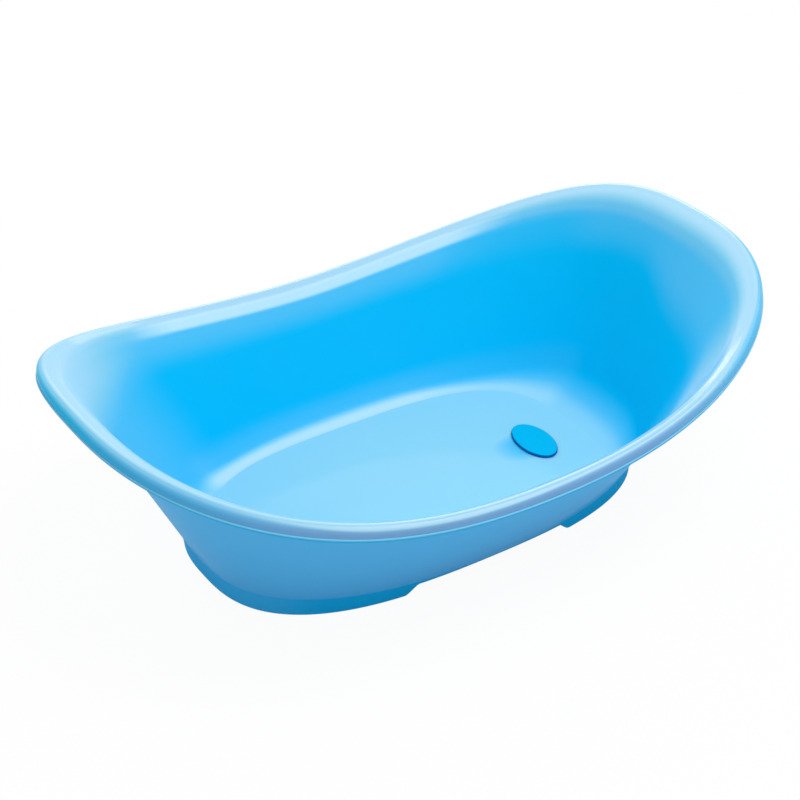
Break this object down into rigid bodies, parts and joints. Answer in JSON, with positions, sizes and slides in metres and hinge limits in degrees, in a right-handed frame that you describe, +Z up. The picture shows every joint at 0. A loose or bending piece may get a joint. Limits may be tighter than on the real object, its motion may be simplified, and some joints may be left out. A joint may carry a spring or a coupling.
{
  "type": "baby bathtub",
  "caption": "Oval baby bathtub with high ends, a rolled rim, arched foot skirts and a lift-out oval drain plug.",
  "frame": {"origin": "on the ground, under the middle of the rim's plan", "axes": "+X along the tub towards the drain end, +Y across the tub, +Z up"},
  "size_m": [0.8, 0.513, 0.2529],
  "materials": {
    "tub": "glossy moulded light blue",
    "plug_cap": "glossy moulded blue",
    "stopper": "matte moulded off-white",
    "seal": "soft dark grey",
    "clip": "matte moulded grey"
  },
  "bodies": {
    "tub": {"tub_shell": "tub"},
    "stopper": {"plug_stopper": "stopper", "plug_seal_upper": "seal", "plug_seal_lower": "seal"},
    "cap": {"plug_cap": "plug_cap", "plug_clip": "clip"}
  },
  "joints": [
    {"name": "plug_lift", "type": "slide", "parent": "tub", "child": "stopper", "axis": [0, 0, 1], "range_m": [0, 0.06]},
    {"name": "cap_swivel", "type": "hinge", "parent": "stopper", "child": "cap", "pos_m": [0.162, -0.012, 0.0189], "axis": [0, 0, 1], "continuous": true}
  ]
}
